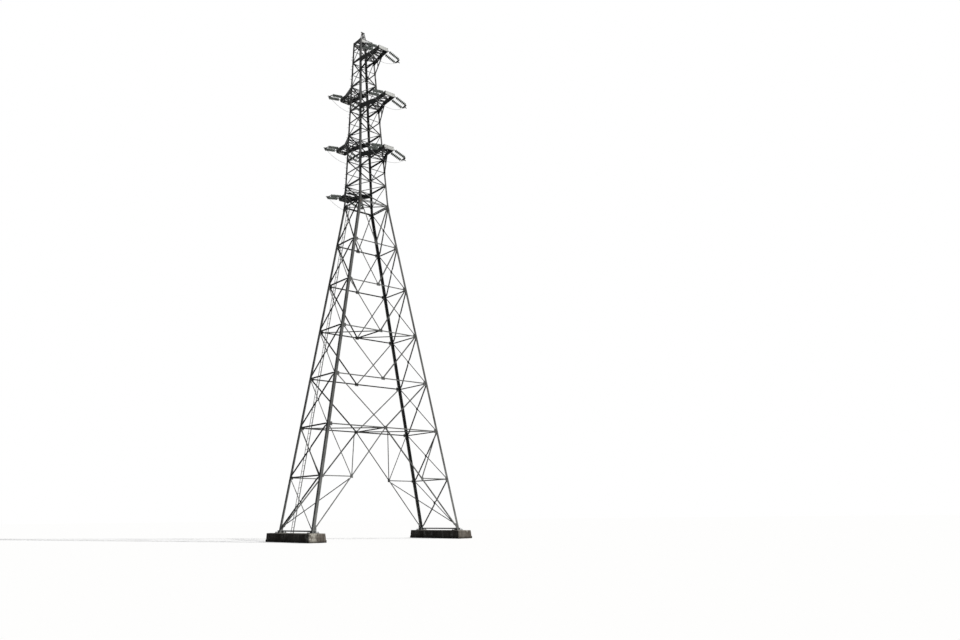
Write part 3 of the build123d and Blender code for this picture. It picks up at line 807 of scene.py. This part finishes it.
def pierBlock(name, side):
    center, spread = side * pier["center"], 2 * (pier["batter"] + pier["ledge"])
    width, length = pier["width"] + 2 * pier["batter"], pier["length"] + 2 * pier["batter"]
    addBlock((pier["width"] + spread, pier["length"] + spread, pier["ledgeHeight"]),
             (center, 0, pier["ledgeHeight"] / 2))
    selectTop()
    bpy.ops.mesh.inset(thickness=pier["ledge"])
    extrude(z=pier["height"] - pier["ledgeHeight"])
    bpy.ops.transform.resize(value=(pier["width"] / width, pier["length"] / length, 1),
                             center_override=(center, 0, pier["height"]))

    def atLedgeFoot(a, b):
        # the level edges where the block meets the ledge
        inside = abs(a.x - center) < width / 2 + pier["slack"] and abs(a.y) < length / 2 + pier["slack"]
        return abs(a.z - b.z) < closeBy and a.z < pier["ledgeHeight"] + closeBy and inside

    selectEdges(lambda a, b: max(a.z, b.z) > closeBy and not atLedgeFoot(a, b))
    bpy.ops.mesh.bevel(offset=pier["chamfer"], segments=2)
    block = endEdit()
    for kind, values in (("REMESH", {"mode": "VOXEL", "voxel_size": pier["grain"]}),
                         ("DISPLACE", {"texture": wearTexture, "texture_coords": "GLOBAL", "mid_level": 0.0,
                                       "strength": -pier["wear"]})):
        modifier = block.modifiers.new(kind.lower(), kind)
        for key, value in values.items():
            setattr(modifier, key, value)
        bpy.ops.object.modifier_apply(modifier=modifier.name)
    bpy.ops.object.shade_smooth_by_angle(angle=radians(pier["smooth"]))
    piece = joined(f"{name}_cast_block", [block], concrete)
    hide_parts(f"{name}_pier")
    pads, size = [], pier["pad"]
    for end in bothWays:
        addBlock(size, (side * shoeX, end * shoeY, pier["height"] - size[2] / 2 - pier["padDrop"]))
        selectEdges(lambda a, b: abs(a.z - b.z) > closeBy)
        bpy.ops.mesh.bevel(offset=pier["padCorner"], segments=2)
        pads.append(endEdit())
    joined(f"{name}_pads", pads, concrete)


for name, side in (("left", -1), ("right", 1)):
    pierBlock(name, side)
print("piers done")

# Shoes: anchor bolts round each base plate
anchor = {"across": 0.155, "plateTop": 0.425, "rod": (10, ((0, 0.011), (0.05, 0.011), (0.054, 0.008)))}


def anchorBolts(name, side):
    parts, rod = [], turned(*anchor["rod"])
    for end, x, y in product(bothWays, bothWays, bothWays):
        place = (side * shoeX + x * anchor["across"], end * shoeY + y * anchor["across"], anchor["plateTop"])
        bolt(parts, place, up, "anchor")
        parts.append(placedCopy(rod, Matrix.Translation(place)))
    discard(rod)
    joined(f"{name}_anchor_bolts", parts, darkFitting)


for name, side in (("left", -1), ("right", 1)):
    anchorBolts(name, side)

# Wide sides of the body: bolts on every gusset, along the bar that each one holds
wide = {"shoeRise": 0.116, "legColumns": (0.048, 0.09), "legRows": (-0.06, -0.02, 0.02, 0.06),
        "legGrip": 0.032, "node": 0.0625, "gussetDepth": 0.014, "grip": 0.02, "girtEnds": (0.15, 0.19, 0.225),
        "middle": (0.04, 0.075), "apex": (0.05, 0.085), "corner": (0.1, 0.14, 0.18),
        "kneeBolts": (0.03, 0.06), "strutCorner": 0.036, "strutStart": 0.12, "strutBolts": (0.02, 0.05)}


def boltLine(bolts, side, start, end, reaches):
    along = (end - start).normalized()
    for reach in reaches:
        bolt(bolts, start + along * reach, side.outward, "brace", wide["grip"])


def wideBolts(name):
    side, bolts, depth, rings = Side(name, False), [], wide["gussetDepth"], bodyLevels[2:]
    node = wide["node"]
    for z, way, column, rise in product([footZ + wide["shoeRise"], *bodyLevels[1:]], bothWays,
                                        wide["legColumns"], wide["legRows"]):
        bolt(bolts, side.corner(way, z + rise, column), side.outward, "brace", wide["legGrip"])
    for z, way, reach in product(rings, bothWays, wide["girtEnds"]):
        bolt(bolts, side.corner(way, z, reach, depth), side.outward, "brace", wide["grip"])
    for (low, high), way in product(zip(rings, rings[1:]), bothWays):
        middle, corner = side.point(0, low, depth), side.corner(way, high, node, depth)
        boltLine(bolts, side, middle, corner, wide["apex"])
        boltLine(bolts, side, corner, middle, wide["corner"])
        for reach in wide["middle"]:
            bolt(bolts, side.point(way * reach, low, depth), side.outward, "brace", wide["grip"])
    share = (halfRing - footZ) / (rings[0] - footZ)
    for way in bothWays:
        foot, apex = side.corner(way, footZ, node, depth), side.point(0, rings[0], depth)
        knee = side.point(way * (halfWidth(footZ, 0) - node) * (1 - share), halfRing, depth)
        boltLine(bolts, side, foot, apex, wide["corner"])
        boltLine(bolts, side, apex, foot, wide["apex"])
        for target in (foot, apex, side.corner(way, rings[0], node, depth),
                       side.corner(way, halfRing, wide["strutCorner"], depth)):
            boltLine(bolts, side, knee, target, wide["kneeBolts"])
        boltLine(bolts, side, side.corner(way, halfRing, wide["strutStart"], depth), knee, wide["strutBolts"])
    joined(f"{name}_wide_bolts", bolts, braceSteel)


for name in ("near", "far"):
    wideBolts(name)
print("wide sides done")

# Leg splices: cover plates on both outer faces of each corner, by level, width, height, inset,
# rows of bolts and their kind
splice = {"levels": ((5.75, 0.105, 0.5, 0.0625, 5, "leg"), (10.6, 0.105, 0.5, 0.0625, 5, "leg"),
                     (waistZ, 0.085, 0.5, 0.05, 5, "leg"), (22.25, 0.08, 0.36, 0.05, 4, "mast")),
          "thickness": 0.008, "columns": (-0.27, 0.27)}


def legSplices():
    covers, bolts, thickness = [], [], splice["thickness"]
    for name, (z, width, height, inset, rows, kind), way in product(("near", "far", "left", "right"),
                                                                    splice["levels"], bothWays):
        side = Side(name, z > waistZ)
        below, above = (side.corner(way, z + rise * height / 2, inset) for rise in bothWays)
        along = (above - below).normalized()
        across = side.outward.cross(along)
        middle = (below + above) / 2 + side.outward * thickness / 2
        plate(covers, middle, (width, thickness, height), side.outward, along)
        for row, column in product(range(rows), splice["columns"]):
            spot = middle + along * height * ((row + 0.5) / rows - 0.5) + side.outward * thickness / 2
            bolt(bolts, spot + across * width * column, side.outward, kind)
    joined("splice_plates", covers, legSteel)
    joined("splice_bolts", bolts, braceSteel)


# Step bolts up the mast's far left leg, on its two faces in turn
stepBolts = {"low": 17.5, "high": 26.6, "spacing": 0.3, "inset": 0.035,
             "peg": (8, ((0, 0.016), (0.008, 0.016), (0.009, 0.008), (0.11, 0.008), (0.111, 0.013),
                         (0.117, 0.013)))}


def stepPegs():
    peg, parts = turned(*stepBolts["peg"]), []
    faces = (Side("left", True), 1), (Side("far", True), -1)
    for step in range(int((stepBolts["high"] - stepBolts["low"]) / stepBolts["spacing"])):
        side, way = faces[step % 2]
        place = side.corner(way, stepBolts["low"] + step * stepBolts["spacing"], stepBolts["inset"])
        parts.append(placedCopy(peg, Matrix.Translation(place) @ facing(side.outward)))
    discard(peg)
    joined("step_bolts", parts, braceSteel)


legSplices()
stepPegs()
print("splices and step bolts done")

# Inside the body: plan frames at two rings and the bars between the main diagonals
inside = {"planWidth": 0.05, "planRise": 0.0235, "planClip": 0.07, "planBolts": (0.02, 0.06),
          "planBoltRise": 0.001, "planGrip": 0.008, "cornerClear": 0.335, "faceClear": 0.082,
          "hipWidth": 0.042, "hipClear": 0.055, "hipClip": 0.06,
          "hipShares": ((0.965, 0.51), (0.47, 0.04)), "hipEnd": 0.02, "hipPlate": (0.1, 0.008, 0.1),
          "hipBolts": (-0.025, 0.025)}


def planBracing():
    bars, bolts, width = [], [], inside["planWidth"]
    for z in (tower["rings"][0], tower["rings"][2]):
        reach, level = halfWidth(z, 1) - inside["faceClear"], z + inside["planRise"]
        corner = halfWidth(z, 0) - inside["cornerClear"]
        lines = ((0, -reach), (0, reach)), ((-corner, reach), (0, -reach)), ((0, reach), (corner, -reach))
        for start, end in lines:
            start, end = Vector((*start, level)), Vector((*end, level))
            side = up.cross((end - start).normalized())
            shift = side * width / 2
            bars.append(angle(start - shift, end - shift, side, down, width, inside["planClip"]))
            for gap in inside["planBolts"]:
                for spot in shortened(start, end, gap, gap):
                    bolt(bolts, spot + up * inside["planBoltRise"], up, "brace", inside["planGrip"])
    piece = joined("plan_angles", bars, braceSteel)
    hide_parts("plan_bracing")
    joined("plan_bolts", bolts, braceSteel)


def onMainDiagonal(wayX, wayY, share):
    z = blend(footZ, tower["rings"][0], share)
    return Vector((wayX * shoeX * (1 - share), wayY * (halfWidth(z, 1) - inside["hipClear"]), z))


def hipBraces():
    bars, bolts = [], []
    size, thickness, width = inside["hipPlate"], inside["hipPlate"][1], inside["hipWidth"]
    (upper, above), (below, lower) = inside["hipShares"]
    shares = (upper, above, 1), (below, lower, -1)
    for (wayX, wayY), (first, last, turn) in product(((1, -1), (-1, 1)), shares):
        start, end = onMainDiagonal(wayX, turn * wayY, first), onMainDiagonal(wayX, -turn * wayY, last)
        level = up.cross(end - start).normalized()
        shift = level * width / 2
        bars.append(angle(start - shift, end - shift, level, up, width, inside["hipClip"]))
        along = (end - start).normalized()
        for spot in shortened(start, end, inside["hipEnd"], inside["hipEnd"]):
            outward = Vector((0, 1 if spot.y > 0 else -1, 0))
            plate(bars, spot, size, outward, along)
            for rise in inside["hipBolts"]:
                bolt(bolts, spot - outward * thickness / 2 + along * rise, -outward, "mast")
    piece = joined("hip_angles", bars, braceSteel)
    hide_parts("hip_braces")
    joined("hip_bolts", bolts, braceSteel)


planBracing()
hipBraces()
print("inside bars done")

# Ladder inside the left side: angle rails, round rungs and brackets to the girts
ladder = {"y": 0.3, "half": 0.089, "rail": 0.03, "depth": 0.031, "bottom": 0.4, "top": 16.98, "pitch": 0.25,
          "rungDepth": 0.045, "rungRadius": 0.009, "rungSides": 8, "rungEnd": 0.012, "topClear": 0.055,
          "bracket": (0.045, 0.006, 0.07), "bracketDepth": 0.029, "boltDepth": 0.012}


def ladderPiece():
    side, parts, bolts = Side("left", False), [], []
    for way in bothWays:
        across = ladder["y"] + way * (ladder["half"] + ladder["rail"] / 2)
        start, end = (side.point(across, z, ladder["depth"]) for z in (ladder["bottom"], ladder["top"]))
        parts.append(angle(start, end, (0, -way, 0), -side.outward, ladder["rail"]))
        for z in bodyLevels[1:]:
            spot = side.point(ladder["y"] + way * ladder["half"], z, ladder["bracketDepth"])
            plate(parts, spot, ladder["bracket"], side.outward)
            bolt(bolts, spot - side.outward * ladder["boltDepth"], -side.outward, "mast")
    reach, radius = ladder["half"] + ladder["rungEnd"], ladder["rungRadius"]
    rung = turned(ladder["rungSides"], ((-reach, radius), (0, radius), (reach, radius)))
    for step in range(int((waistZ - ladder["topClear"] - footZ) / ladder["pitch"])):
        place = side.point(ladder["y"], footZ + (step + 0.5) * ladder["pitch"], ladder["rungDepth"])
        parts.append(placedCopy(rung, Matrix.Translation(place) @ facing((0, 1, 0))))
    discard(rung)
    piece = joined("ladder_rails", parts, braceSteel)
    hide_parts("ladder")
    joined("ladder_bolts", bolts, braceSteel)


ladderPiece()
print("ladder done")

# Earth wire peak: laced angles on a beam across the mast's top, a cap and the wire's clamp
peak = {"seat": 27.016, "height": 0.64, "base": 0.13, "top": 0.045, "heel": 0.018, "bar": 0.036,
        "lacing": 0.02, "lacingInset": 0.005, "panels": 3, "beam": 0.06, "beamY": 0.12, "beamReach": 0.38,
        "plate": 0.3, "capSide": 0.126, "thickness": 0.014, "footBolt": 0.03}
wireClamp = {"body": (0.26, 0.05, 0.03), "rise": 0.018, "narrowing": 0.72,
             "dips": ((0.12, 0.0048), (0.06, 0.002)), "loopX": 0.045, "loopRise": 0.044,
             "loop": (16, 0.022, 0.0055), "boltY": 0.02, "boltRise": 0.05,
             "keeper": (12, ((-0.13, 0.012), (-0.12, 0.015), (0.12, 0.015), (0.13, 0.012)))}


def clampParts(high):
    # suspension clamp: a boat shaped body, two U-bolts and the keeper
    parts = []
    addBlock(wireClamp["body"], (0, 0, high + peak["thickness"] + wireClamp["rise"]))
    bpy.ops.mesh.select_all(action="SELECT")
    bpy.ops.mesh.subdivide(number_cuts=3)
    for start, dip in wireClamp["dips"]:
        selectFaces(lambda center, normal: abs(center.x) > start)
        bpy.ops.transform.resize(value=(1, wireClamp["narrowing"], 1), center_override=(0, 0, high))
        bpy.ops.transform.translate(value=(0, 0, -dip))
    parts.append(endEdit())
    for way in bothWays:
        x = way * wireClamp["loopX"]
        parts.append(roundRing((x, 0, high + wireClamp["loopRise"]), (0, pi / 2, 0), *wireClamp["loop"]))
        for side in bothWays:
            bolt(parts, (x, side * wireClamp["boltY"], high + wireClamp["boltRise"]), up, "small")
    keeper, spot = turned(*wireClamp["keeper"]), Matrix.Translation((0, 0, high + wireClamp["boltRise"]))
    parts.append(placedCopy(keeper, spot @ facing((1, 0, 0))))
    discard(keeper)
    return parts


def wirePeak():
    bars, plates, posts = [], [], []
    thickness, seat, high = peak["thickness"], peak["seat"], peak["seat"] + peak["height"]
    for way in bothWays:
        ends = [Vector((x, way * peak["beamY"], seat)) for x in (-peak["beamReach"], peak["beamReach"])]
        bars.append(angle(*ends, (0, -way, 0), down, peak["beam"]))
    for z, size in ((seat, peak["plate"]), (high, peak["capSide"])):
        plate(plates, (0, 0, z + thickness / 2), (size, thickness, size), up, (0, 1, 0))
    corners = ((-1, -1), (1, -1), (1, 1), (-1, 1))
    for x, y in corners:
        low, top = (Vector((x * (half + peak["heel"]), y * (half + peak["heel"]), z))
                    for half, z in ((peak["base"], seat + thickness), (peak["top"], high)))
        posts.append((low, top))
        bars.append(angle(low, top, (-x, 0, 0), (0, -y, 0), peak["bar"]))
        for inX, inY in ((peak["footBolt"], 0), (0, peak["footBolt"])):
            bolt(plates, (x * (peak["base"] - inX), y * (peak["base"] - inY), seat + thickness), up, "mast")
    for first, second in ((0, 1), (1, 2), (2, 3), (3, 0)):
        outward = Vector((*(a + b for a, b in zip(corners[first], corners[second])), 0)).normalized()
        lines = [[place - outward * peak["lacingInset"] for place in posts[corner]]
                 for corner in (first, second)]
        laced(bars, *lines, peak["panels"], peak["lacing"], -outward)
    fittings = clampParts(high)
    piece = joined("peak_angles", bars, armSteel)
    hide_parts("earth_wire_peak")
    joined("peak_plates", plates, armSteel)
    joined("peak_clamp", fittings, darkFitting)


wirePeak()
print("peak done")

# Insulator strings: modelled once along Z from the lug's face, the pair spread along X
string = {"spread": armShape["lugSpread"], "droop": {1: 18, -1: 10}, "link": 0.095, "discs": 7,
          "pitch": 0.097, "links": ((0.022, 0), (0.05, pi / 2)), "chain": (14, 0.021, 0.007),
          "chainStretch": 0.012, "ear": (0.05, 0.008, 0.05), "earX": 0.018, "earZ": -0.005,
          "pin": (0.022, 0.002), "pinGrip": 0.044, "yoke": (0.41, 0.016, 0.08), "yokeZ": 0.84,
          "yokeNeck": 0.62, "yokeCorner": 0.014, "strap": (0.04, 0.009, 0.09), "strapY": 0.014,
          "strapZ": 0.885, "strapBolt": (0.019, 0.862), "bands": (0.935, 0.962), "band": (18, 0.023, 0.0045)}
outline = {"cap": (12, ((0.0, 0.011), (0.004, 0.024), (0.014, 0.029), (0.03, 0.031), (0.042, 0.035),
                        (0.046, 0.031))),
           "shed": (24, ((0.03, 0.03), (0.036, 0.046), (0.043, 0.062), (0.051, 0.076), (0.059, 0.083),
                         (0.068, 0.083), (0.066, 0.074), (0.077, 0.067), (0.063, 0.057), (0.073, 0.048),
                         (0.06, 0.037), (0.06, 0.012))),
           "rod": (8, ((0.07, 0.009), (0.4, 0.009), (0.774, 0.009), (0.78, 0.016), (0.8, 0.016),
                       (0.82, 0.01))),
           "clamp": (16, ((0.9, 0.01), (0.905, 0.019), (0.93, 0.022), (0.97, 0.022), (0.978, 0.018),
                          (1.0, 0.0175), (1.01, 0.0135), (1.009, 0.0085), (0.985, 0.008))),
           "ferrule": (12, ((-0.03, 0.0085), (-0.028, 0.012), (0.018, 0.012), (0.024, 0.006)))}
terminal = {"middle": 0.05, "size": (0.03, 0.01, 0.07), "bolts": (0.035, 0.062)}


def repeated(source):
    # copies at every disc of both strings
    copies = []
    for way, index in product(bothWays, range(string["discs"])):
        place = (way * string["spread"], 0, string["link"] + index * string["pitch"])
        copies.append(placedCopy(source, Matrix.Translation(place)))
    discard(source)
    return copies


def chainLink(height, turn):
    roundRing((0, 0, height), (pi / 2, 0, turn), *string["chain"])
    startEdit()
    selectFaces(lambda center, normal: center.z > height)
    bpy.ops.transform.translate(value=(0, 0, string["chainStretch"]))
    return endEdit()


def stringFittings():
    parts = repeated(turned(*outline["cap"]))
    once = [turned(*outline["rod"]), *(chainLink(*link) for link in string["links"])]
    for way in bothWays:
        x = way * string["spread"]
        parts += [placedCopy(source, Matrix.Translation((x, 0, 0))) for source in once]
        for side in bothWays:
            plate(parts, (x + side * string["earX"], 0, string["earZ"]), string["ear"], (1, 0, 0))
            bolt(parts, (x, side * string["yoke"][1] / 2, string["yokeZ"]), (0, side, 0), "brace")
        reach, rise = string["pin"]
        bolt(parts, (x + reach, 0, rise), (1, 0, 0), "mast", string["pinGrip"])
    discard(*once)
    # yoke: a plate that narrows to the clamp
    addBlock(string["yoke"], (0, 0, string["yokeZ"]))
    selectTop()
    bpy.ops.transform.resize(value=(string["yokeNeck"], 1, 1), center_override=(0, 0, string["yokeZ"]))
    selectEdges(lambda a, b: abs(a.y - b.y) > closeBy)
    bpy.ops.mesh.bevel(offset=string["yokeCorner"], segments=3)
    parts.append(endEdit())
    reach, rise = string["strapBolt"]
    for side in bothWays:
        bolt(parts, (0, side * reach, rise), (0, side, 0), "brace")
        plate(parts, (0, side * string["strapY"], string["strapZ"]), string["strap"], (0, side, 0))
    # dead-end clamp with an open mouth
    parts.append(turned(*outline["clamp"]))
    return parts + [roundRing((0, 0, z), (0, 0, 0), *string["band"]) for z in string["bands"]]


def pairFrame(arm, way):
    droop = radians(string["droop"][way])
    along, spread = Vector((way * cos(droop), 0, -sin(droop))), Vector((0, 1, 0))
    start = armTip(arm) + Vector((way * (armShape["lugFace"] + armShape["lugThickness"]), 0, 0))
    return Matrix.Translation(start) @ axes(spread, along.cross(spread), along)


def terminalParts(arm, way):
    # a flat terminal from the clamp to the end of the jumper, with its ferrule
    route = jumper["route"] if way < 0 else jumper["route"][::-1]
    tip, after = (armTip(arm) + Vector((x, 0, z)) for x, z in route[:2])
    along = (tip - after).normalized()
    flat, parts = along.cross(Vector((0, 1, 0))), []
    plate(parts, tip + along * terminal["middle"], terminal["size"], flat, along)
    for reach in terminal["bolts"]:
        bolt(parts, tip + along * reach + flat * terminal["size"][1] / 2, flat, "small")
    ferrule = turned(*outline["ferrule"])
    parts.append(placedCopy(ferrule, Matrix.Translation(tip) @ facing(along)))
    discard(ferrule)
    return parts


fittings = joined("fittings_model", stringFittings(), darkFitting)
sheds = joined("sheds_model", repeated(turned(*outline["shed"])), porcelain)
for arm in arms:
    metal, discs = [], []
    for way in bothWays:
        place = pairFrame(arm, way)
        metal += [placedCopy(fittings, place), *terminalParts(arm, way)]
        discs.append(placedCopy(sheds, place))
    joined(f"{arm}_string_fittings", metal, darkFitting)
    piece = joined(f"{arm}_string_discs", discs, porcelain)
    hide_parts(f"{arm}_strings")
discard(fittings, sheds)
print("insulator strings done")

# Floor, sky and light
studio = {"floor": 1200, "floorDrop": 0.001, "floorTone": 0.09, "shownFloor": 0.9, "floorLift": 0.36,
          "toSun": (0.4, -0.7, 0.6), "sun": 3.2, "sunTone": (1, 0.985, 0.96), "softness": 0.04,
          "sky": 0.11, "skyTone": (0.86, 0.92, 1, 1)}


def byCameraRay(tree, plain, shown, output):
    # the shown shader for the camera, also through gloss and glass, and the plain one for all other rays
    path = tree.nodes.new("ShaderNodeLightPath")
    share = path.outputs["Is Camera Ray"]
    for kind in ("Is Glossy Ray", "Is Transmission Ray"):
        either = tree.nodes.new("ShaderNodeMath")
        either.operation = "MAXIMUM"
        tree.links.new(share, either.inputs[0])
        tree.links.new(path.outputs[kind], either.inputs[1])
        share = either.outputs[0]
    mix = tree.nodes.new("ShaderNodeMixShader")
    for source, socket in zip((share, plain.outputs[0], shown.outputs[0]), mix.inputs):
        tree.links.new(source, socket)
    tree.links.new(mix.outputs[0], tree.nodes[output].inputs["Surface"])


def addFloor():
    floor = addPrimitive(bpy.ops.mesh.primitive_plane_add, size=studio["floor"],
                         location=(0, 0, -studio["floorDrop"]))
    floor.name = "floor"
    tone = (*[studio["floorTone"]] * 3, 1)
    material, tree, shader = newMaterial("paleFloor", Roughness=0.9, Base_Color=tone)
    white = tree.nodes.new("ShaderNodeBsdfDiffuse")
    white.inputs["Color"].default_value = (*[studio["shownFloor"]] * 3, 1)
    lift = tree.nodes.new("ShaderNodeEmission")
    lift.inputs["Strength"].default_value = studio["floorLift"]
    both = tree.nodes.new("ShaderNodeAddShader")
    tree.links.new(white.outputs[0], both.inputs[0])
    tree.links.new(lift.outputs[0], both.inputs[1])
    byCameraRay(tree, shader, both, "Material Output")
    floor.data.materials.append(material)
    floor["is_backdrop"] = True


def addLight():
    data = bpy.data.lights.new("sun", "SUN")
    data.energy, data.angle, data.color = (studio[key] for key in ("sun", "softness", "sunTone"))
    lamp = bpy.data.objects.new("sun", data)
    lamp.rotation_euler = Vector(studio["toSun"]).to_track_quat("Z", "Y").to_euler()
    scene.collection.objects.link(lamp)
    scene.world = bpy.data.worlds.new("studio")
    scene.world.use_nodes = True
    tree = scene.world.node_tree
    light = tree.nodes["Background"]
    light.inputs["Color"].default_value = studio["skyTone"]
    light.inputs["Strength"].default_value = studio["sky"]
    shown = tree.nodes.new("ShaderNodeBackground")
    shown.inputs["Color"].default_value = (1, 1, 1, 1)
    byCameraRay(tree, light, shown, "World Output")


addFloor()
addLight()
discard(*model.values())
print("stage and light done")

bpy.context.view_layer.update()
triangles = sum(max(0, len(face.vertices) - 2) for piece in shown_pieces() if piece.type == "MESH"
                for face in piece.data.polygons)
print("triangles", triangles)
